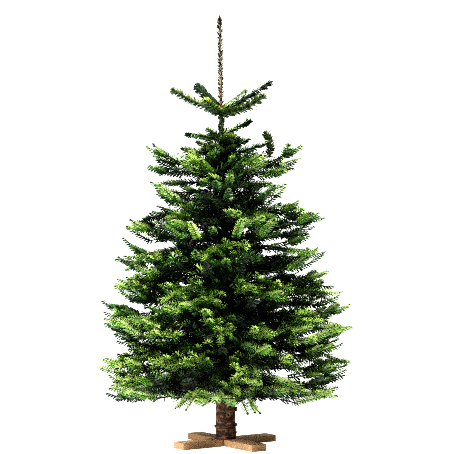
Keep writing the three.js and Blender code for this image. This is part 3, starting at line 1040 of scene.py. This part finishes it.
bud = {
    "length": 0.0115,
    "width": 0.0074,
    "sunk": 0.15,  # shares of its length: what is inside the shoot, and where it is widest
    "widest": 0.38,
    "sides": 4,
    "varies": (0.85, 1.2),
    "single": 1.1,  # size on the shoots that stand alone
    "inner": 0.5,  # share of the crown's reach where buds begin, and where three sit together
    "outer": 0.76,
    "beside": 50,  # degrees between the middle bud and those beside it
    "besideBack": 0.002,
    "besideLength": 0.8,
    "besideWidth": 0.85,
}
leaderBud = {
    "length": 1.4,  # of the length that the trunk leaves for it
    "width": 0.0204,
    "sideLength": 0.019,
    "sideWidth": 0.012,
    "rows": (0.002, 0.016),  # how far under its foot the rows of smaller buds stand
    "inRow": 5,
    "turns": (20, 36),  # degrees to the first one, and more for each row
    "spread": 1.1,
}


def addBud(verts, faces, foot, way, length, width):
    base = len(verts)
    side = way.orthogonal().normalized()
    across = way.cross(side)
    verts.append(foot - way * length * bud["sunk"])
    for turn in range(bud["sides"]):
        angle = turn * math.tau / bud["sides"]
        out = side * math.cos(angle) + across * math.sin(angle)
        verts.append(foot + way * length * bud["widest"] + out * width / 2)
    verts.append(foot + way * length)
    for turn in range(bud["sides"]):
        a, b = base + 1 + turn, base + 1 + (turn + 1) % bud["sides"]
        faces += [(base, b, a), (a, b, len(verts) - 1)]


def budPiece():
    verts, faces = [], []
    for shoot in shoots:
        if not shoot["tip"]:
            continue
        end = shoot["points"][-1]
        way = (end - shoot["points"][1]).normalized()
        single = shoot["mass"]["region"] == "shoots"
        size = rng.uniform(*bud["varies"]) * (bud["single"] if single else 1)
        if shoot["outward"] < bud["inner"]:
            continue
        length, width = bud["length"] * size, bud["width"] * size
        addBud(verts, faces, end, way, length, width)
        if single or shoot["outward"] > bud["outer"]:
            for side in (-1, 1):
                aside = Quaternion(shoot["normal"], side * math.radians(bud["beside"])) @ way
                foot = end - way * bud["besideBack"]
                addBud(verts, faces, foot, aside, length * bud["besideLength"], width * bud["besideWidth"])
    top = axisAt(trunk["tip"] - trunk["budLength"])
    way = (axisAt(trunk["tip"]) - top).normalized()
    addBud(verts, faces, top, way, trunk["budLength"] * leaderBud["length"], leaderBud["width"])
    first, more = leaderBud["turns"]
    for row, below in enumerate(leaderBud["rows"]):
        for side in range(leaderBud["inRow"]):
            heading = side * 360 / leaderBud["inRow"] + first + more * row
            aside = (way + towards(heading) * leaderBud["spread"]).normalized()
            addBud(verts, faces, top - way * below, aside, leaderBud["sideLength"], leaderBud["sideWidth"])
    piece = meshOf("buds", verts, faces)
    piece.data.materials.append(budMaterial)
    return piece


finishPiece(budPiece())

# Trunk and boughs: tubes with the bark's relief in their mesh

barkShape = {
    "sides": 72,
    "footStep": 0.0026,  # between rings on the bare foot, and above it
    "footTop": 0.26,
    "stemStep": 0.008,
    "depth": 0.0034,
    "level": 0.55,  # the relief that neither stands out nor sinks in
    "fade": 1.5,  # how quickly it fades as the stem thins
    "plate": 0.016,  # sizes in the relief, and how much each counts
    "lump": 0.034,
    "crease": 0.045,
    "fine": 0.0045,
    "counts": (0.30, 0.34, 0.22, 0.24, 0.10),
    "squeezed": (1.25, 5),  # how much shorter plates and creases are along the trunk
    "crackEdge": 3.2,  # how steeply a plate rises from its crack
    "most": 1.3,
    "cut": 0.6,  # on the cut ends
    # old scars: rings with a dimple
    "knots": 15,
    "knotHeights": (0.05, 0.26),
    "knotRadius": (0.006, 0.011),
    "knotRing": 0.75,
    "knotDimple": 0.35,
    "knotShares": (0.85, 0.3, 0.5),  # of its radius: where the ring is, its width, and the dimple
    "seed": 3,
}
stub = {
    # height, heading, radius, how far it stands out
    "places": [
        (0.166, -8, 0.011, 0.009), (0.092, 6, 0.007, 0.006), (0.060, -22, 0.007, 0.006),
        (0.086, 184, 0.007, 0.006),
    ],
    "sides": 14,
    "steps": 7,
    "inside": 0.75,  # share of the trunk's radius where it begins
    "swell": (1.25, 0.4),  # its width at the foot, and what it loses by its end
    "scale": 0.6,
    "depth": 0.0014,
}
boughShape = {
    "sides": 9,
    "step": 0.009,
    "length": 0.72,  # share of the bough's line that carries bark
    "lowestFoot": 0.013,  # radius at the trunk in the lowest whorl, and in the others
    "foot": 0.0075,
    "fullReach": 0.62,  # a shorter bough is thinner
    "tip": 0.0022,
    "taper": 0.8,
    "scale": 0.7,
    "depth": 0.16,  # share of the radius
}


def barkRelief(point, scale):
    # From 0 in a crack to 1 on a plate, with lumps and a fine grain
    plates, creases = barkShape["squeezed"]
    near = noise.voronoi(Vector((point.x, point.y, point.z * plates)) / (barkShape["plate"] * scale))[0]
    crack = min((near[1] - near[0]) * barkShape["crackEdge"], 1)
    lump = noise.noise(point / (barkShape["lump"] * scale))
    crease = noise.noise(Vector((point.x, point.y, point.z * creases)) / (barkShape["crease"] * scale))
    fine = noise.noise(point / (barkShape["fine"] * scale))
    base, ofCrack, ofLump, ofCrease, ofFine = barkShape["counts"]
    return base + ofCrack * crack + ofLump * lump + ofCrease * crease + ofFine * fine


def tubeFaces(base, rings, sides):
    # Quads between rings of points that follow each other
    for low in range(base, base + (rings - 1) * sides, sides):
        for turn in range(sides):
            following = (turn + 1) % sides
            yield low + turn, low + following, low + sides + following, low + sides + turn


def addTube(build, centres, radii, sides, reliefAt, capMaterial=0):
    verts, faces, relief = build["verts"], build["faces"], build["relief"]
    base, side = len(verts), None
    for number, centre in enumerate(centres):
        before, after = centres[max(number - 1, 0)], centres[min(number + 1, len(centres) - 1)]
        way = (after - before).normalized()
        side = (way.orthogonal() if side is None else side - way * side.dot(way)).normalized()
        across = way.cross(side)
        for turn in range(sides):
            angle = turn * math.tau / sides
            out = side * math.cos(angle) + across * math.sin(angle)
            point = centre + out * radii[number]
            value, rise = reliefAt(point, radii[number])
            verts.append(point + out * rise)
            relief.append(value)
    faces += tubeFaces(base, len(centres), sides)
    build["materials"] += [0] * (len(centres) - 1) * sides
    for centre, ring, flip in ((centres[0], base, True), (centres[-1], len(verts) - sides, False)):
        verts.append(centre.copy())
        relief.append(barkShape["cut"])
        for turn in range(sides):
            edge = (ring + turn, ring + (turn + 1) % sides)
            faces.append((len(verts) - 1, *(edge[::-1] if flip else edge)))
            build["materials"].append(capMaterial)


def builtPiece(name, build, materials):
    mesh = bpy.data.meshes.new(name)
    mesh.from_pydata(build["verts"], [], build["faces"])
    mesh.attributes.new("relief", "FLOAT", "POINT").data.foreach_set("value", build["relief"])
    for material in materials:
        mesh.materials.append(material)
    mesh.polygons.foreach_set("material_index", build["materials"])
    mesh.polygons.foreach_set("use_smooth", [len(face) == 4 for face in build["faces"]])
    return pieceOf(name, mesh)


def emptyBuild():
    return {"verts": [], "faces": [], "relief": [], "materials": []}


def trunkPiece():
    draw = random.Random(barkShape["seed"])
    knots = []
    for knot in range(barkShape["knots"]):
        heading, height = draw.uniform(0, 360), draw.uniform(*barkShape["knotHeights"])
        place = axisAt(height) + towards(heading) * girthAt(height)
        knots.append((place, draw.uniform(*barkShape["knotRadius"])))
    top = trunk["tip"] - trunk["budLength"]

    def trunkRelief(point, radius):
        value = barkRelief(point, 1.0)
        ringAt, ringWide, dimple = barkShape["knotShares"]
        for place, size in knots:
            far = (point - place).length
            if far < size * 2:
                ring = math.exp(-((far - size * ringAt) / (size * ringWide)) ** 2)
                value += barkShape["knotRing"] * ring - barkShape["knotDimple"] * (far < size * dimple)
        fade = min(radius / trunk["cutRadius"], 1) ** barkShape["fade"]
        rise = (value - barkShape["level"]) * barkShape["depth"] * fade
        return max(0.0, min(value, barkShape["most"])), rise

    def stubRelief(point, radius):
        value = barkRelief(point, stub["scale"])
        return value, (value - 0.5) * stub["depth"]

    heights = [trunk["foot"]]
    while heights[-1] < top:
        step = barkShape["footStep" if heights[-1] < barkShape["footTop"] else "stemStep"]
        heights.append(heights[-1] + step)
    heights[-1] = top
    build = emptyBuild()
    radii = [girthAt(height) for height in heights]
    addTube(build, [axisAt(height) for height in heights], radii, barkShape["sides"], trunkRelief, 1)
    for height, heading, radius, standsOut in stub["places"]:
        # A bark collar round a cut stub, paler on its face
        way, girth, steps = towards(heading), girthAt(height), stub["steps"]
        wide, lost = stub["swell"]
        first, grown = girth * stub["inside"], girth * (1 - stub["inside"]) + standsOut
        lengths = [first + grown * step / steps for step in range(steps + 1)]
        centres = [axisAt(height) + way * length for length in lengths]
        radii = [radius * (wide - lost * step / steps) for step in range(steps + 1)]
        addTube(build, centres, radii, stub["sides"], stubRelief, 1)
    return builtPiece("trunk_bark", build, [trunkBark(), cutWood])


def boughsPiece():
    def boughRelief(point, radius):
        value = barkRelief(point, boughShape["scale"])
        return value, (value - 0.5) * boughShape["depth"] * radius

    build = emptyBuild()
    for mass, ends, isMain in boughLines:
        if not isMain:
            continue
        foot = boughShape["lowestFoot" if mass["region"] == "tier_1" else "foot"]
        foot *= min(mass["crown"] / boughShape["fullReach"], 1)
        rings = max(int(lengthOf(ends) * boughShape["length"] / boughShape["step"]), 4)
        centres = [alongLine(ends, boughShape["length"] * ring / rings) for ring in range(rings + 1)]
        radii = [foot + (boughShape["tip"] - foot) * (ring / rings) ** boughShape["taper"]
                 for ring in range(rings + 1)]
        addTube(build, centres, radii, boughShape["sides"], boughRelief)
    return builtPiece("boughs", build, [barkMaterial("bough_bark", barkLook["boughs"])[0]])


cutWood = woodMaterial("cut_wood", 0, (0.30, 0.20, 0.11), (0.16, 0.09, 0.045))
finishPiece(trunkPiece(), ["trunk"])
finishPiece(boughsPiece(), [n for n in nodes if n.startswith("bough")])

# Stand: two boards halved into each other, with eased edges, and two countersunk screws from below

stand = {
    "turn": 35,
    "bevel": 0.0012,
    "sharp": 1.2,  # radians: edges this sharp and longer than the shortest are eased
    "shortest": 0.014,
    "weld": 1e-5,  # before that, corners this close are joined, and faces that meet at less than this angle
    "flat": 0.02,
    "round": 0.6,
    "pale": (0.240, 0.155, 0.085),
    "dark": (0.140, 0.080, 0.040),
}
screw = {
    "sides": 20,
    "pitch": 0.0032,
    "threadFrom": 0.0062,
    "thread": 0.0006,
    "shank": 0.0024,
    "rim": 0.0005,
    "neck": (0.0050, 0.0030),  # height and radius where the head ends
    "end": (0.0002, 0.0003),  # the point stops this short, with this radius
    "point": 0.007,
    "recess": (0.0044, 0.0010, 0.0026),  # its cross: half an arm's length, half its width, depth
    "recessWedge": (1.15, 0.55),  # its arms' size at the wedges' two ends
    "recessTurn": 20,
}


def boardPiece(node, name, material):
    work = bmesh.new()
    work.from_mesh(nodes[node].data)
    bmesh.ops.remove_doubles(work, verts=work.verts, dist=stand["weld"])
    bmesh.ops.dissolve_limit(work, angle_limit=stand["flat"], verts=work.verts, edges=work.edges)
    folds = [e for e in work.edges if len(e.link_faces) == 2 and e.calc_face_angle() > stand["sharp"]]
    sharp = [e for e in folds if e.calc_length() > stand["shortest"]]
    bmesh.ops.bevel(
        work, geom=sharp, offset=stand["bevel"], segments=2, affect="EDGES", profile=stand["round"])
    bmesh.ops.triangulate(work, faces=work.faces)
    mesh = bpy.data.meshes.new(name)
    work.to_mesh(mesh)
    work.free()
    mesh.materials.append(material)
    return pieceOf(name, mesh)


def screwPiece(node, name, material):
    low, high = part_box(node)
    foot = Vector(((low.x + high.x) / 2, (low.y + high.y) / 2, low.z))
    head, length, sides, pitch = (high.x - low.x) / 2, high.z - low.z, screw["sides"], screw["pitch"]
    first, last = screw["threadFrom"], length - screw["point"]
    steps = int((last - first) / (pitch / 4))
    profile = [(0.0, head), (screw["rim"], head), screw["neck"]]
    profile += [(first + (last - first) * step / steps, screw["shank"]) for step in range(steps + 1)]
    short, radius = screw["end"]
    profile.append((length - short, radius))
    verts = []
    for along, radius in profile:
        for turn in range(sides):
            angle = turn * math.tau / sides
            wound = (along / pitch - turn / sides) % 1
            thread = screw["thread"] * max(0, 1 - abs(wound - 0.5) * 4) if first < along < last else 0
            grown = radius + thread
            verts.append((foot.x + grown * math.cos(angle), foot.y + grown * math.sin(angle), foot.z + along))
    ends = [tuple(range(sides))[::-1], tuple(range(len(verts) - sides, len(verts)))]
    piece = meshOf(name, verts, [*tubeFaces(0, len(profile), sides), *ends])
    # The cross in the head is cut by two slim wedges
    arm, half, depth = screw["recess"]
    wide, narrow = screw["recessWedge"]
    verts, faces = [], []
    for turn in (0, 90):
        base, spin = len(verts), Matrix.Rotation(math.radians(turn + screw["recessTurn"]), 3, "Z")
        for height, size in ((-0.001, wide), (depth, narrow)):
            reach = arm * size
            for x, y in ((-reach, -half), (reach, -half), (reach, half), (-reach, half)):
                verts.append(spin @ Vector((x, y, height)) + foot)
        for face in ((3, 2, 1, 0), (4, 5, 6, 7), (0, 1, 5, 4), (1, 2, 6, 5), (2, 3, 7, 6), (3, 0, 4, 7)):
            faces.append([base + corner for corner in face])
    cross = meshOf("cross", verts, faces)
    cut = piece.modifiers.new("cut", "BOOLEAN")
    cut.operation, cut.solver, cut.object, cut.use_self = "DIFFERENCE", "EXACT", cross, True
    graph = bpy.context.evaluated_depsgraph_get()
    piece.data = bpy.data.meshes.new_from_object(piece.evaluated_get(graph), depsgraph=graph)
    piece.modifiers.clear()
    bpy.data.objects.remove(cross)
    piece.data.materials.clear()
    piece.data.materials.append(material)
    return piece


steel = steelMaterial()
for node, name, turn in (("stand_board_lower", "board_lower", 0), ("stand_board_upper", "board_upper", 90)):
    wood = woodMaterial("wood_" + name, stand["turn"] + turn, stand["pale"], stand["dark"])
    finishPiece(boardPiece(node, name, wood), [node])
for side in ("left", "right"):
    node = "stand_screw_" + side
    finishPiece(screwPiece(node, "screw_" + side, steel), [node])
print("object: %d triangles in %d pieces" % (sum(counts), len(counts)))

# Floor, light and camera

camera = {
    "distance": 6.0, "height": 0.85, "aimHeight": 1.0075, "aside": 0.0055, "seenWidth": 2.11, "sensor": 36,
}
eye = Vector((camera["aside"], -camera["distance"], camera["height"]))
aim = Vector((camera["aside"], 0, camera["aimHeight"]))
lens = bpy.data.cameras.new("camera")
lens.sensor_width = camera["sensor"]
lens.lens = camera["sensor"] * (aim - eye).length / camera["seenWidth"]


def facing(name, data, place, target):
    # A camera or a lamp that faces the target
    thing = bpy.data.objects.new(name, data)
    thing.location = place
    thing.rotation_euler = (target - Vector(place)).to_track_quat("-Z", "Y").to_euler()
    scene.collection.objects.link(thing)
    return thing


scene.camera = facing("camera", lens, eye, aim)

light = {
    "world": 0.035, "backdrop": 1.0,
    "lamps": {
        "key": {"place": (-1.0, -3.6, 4.9), "size": 1.1, "power": 900, "aim": 0.9},
        "fill": {"place": (3.6, -3.0, 2.2), "size": 2.6, "power": 60, "aim": 0.9},
        "rim": {"place": (2.9, 3.4, 3.4), "size": 2.2, "power": 240, "aim": 0.9},
        "back": {"place": (-2.8, 3.2, 3.0), "size": 2.2, "power": 200, "aim": 0.9},
        "low": {"place": (-3.0, -1.9, 0.60), "size": 0.6, "power": 110, "aim": 0.12},
    },
}
for label, given in light["lamps"].items():
    lamp = bpy.data.lights.new(label, "AREA")
    lamp.shape = "DISK"
    lamp.size, lamp.energy = given["size"], given["power"]
    facing(label, lamp, given["place"], Vector((0, 0, given["aim"])))

# The camera sees a white backdrop, which lights nothing, and the floor turns as white away from the stand

white = (1, 1, 1, 1)
world = bpy.data.worlds.new("studio")
scene.world = world
world.use_nodes = True
tree = world.node_tree
back = tree.nodes["Background"]
back.inputs["Color"].default_value = white
back.inputs["Strength"].default_value = light["world"]
seen = addNode(tree, "ShaderNodeBackground", {"Color": white, "Strength": light["backdrop"]}).outputs[0]
own = addNode(tree, "ShaderNodeLightPath").outputs["Is Camera Ray"]
blend = addNode(tree, "ShaderNodeMixShader", {0: own, 1: back.outputs[0], 2: seen})
tree.links.new(blend.outputs[0], tree.nodes["World Output"].inputs[0])

ground = {"radius": 60, "sides": 64, "white": (0.2, 1.5), "nearest": 0.55}
turns = [turn * math.tau / ground["sides"] for turn in range(ground["sides"])]
rim = [(ground["radius"] * math.cos(turn), ground["radius"] * math.sin(turn), 0) for turn in turns]
floor = meshOf("floor", rim, [tuple(range(ground["sides"]))])
material, tree, shader = newMaterial("floor_paper", Base_Color=(0.82, 0.82, 0.81, 1), Roughness=0.9)
glow = addNode(tree, "ShaderNodeEmission", {"Color": white, "Strength": 1.0}).outputs[0]
far = addNode(tree, "ShaderNodeVectorMath", {0: placeNode(tree)}, operation="LENGTH").outputs["Value"]
fade = addNode(tree, "ShaderNodeMapRange", {
    "Value": far, "From Min": ground["white"][0], "From Max": ground["white"][1], "To Min": ground["nearest"],
}, interpolation_type="SMOOTHSTEP").outputs[0]
own = addNode(tree, "ShaderNodeLightPath").outputs["Is Camera Ray"]
blend = addNode(tree, "ShaderNodeMixShader", {
    0: mathNode(tree, "MULTIPLY", fade, own), 1: shader.outputs[0], 2: glow,
})
tree.links.new(blend.outputs[0], tree.nodes["Material Output"].inputs[0])
floor.data.materials.append(material)
scene.view_settings.view_transform = "Standard"
scene.view_settings.look = "Very High Contrast"
scene.cycles.use_denoising = False  # keeps single needles sharp
scene.cycles.filter_width = 1.0
print("light and camera set")
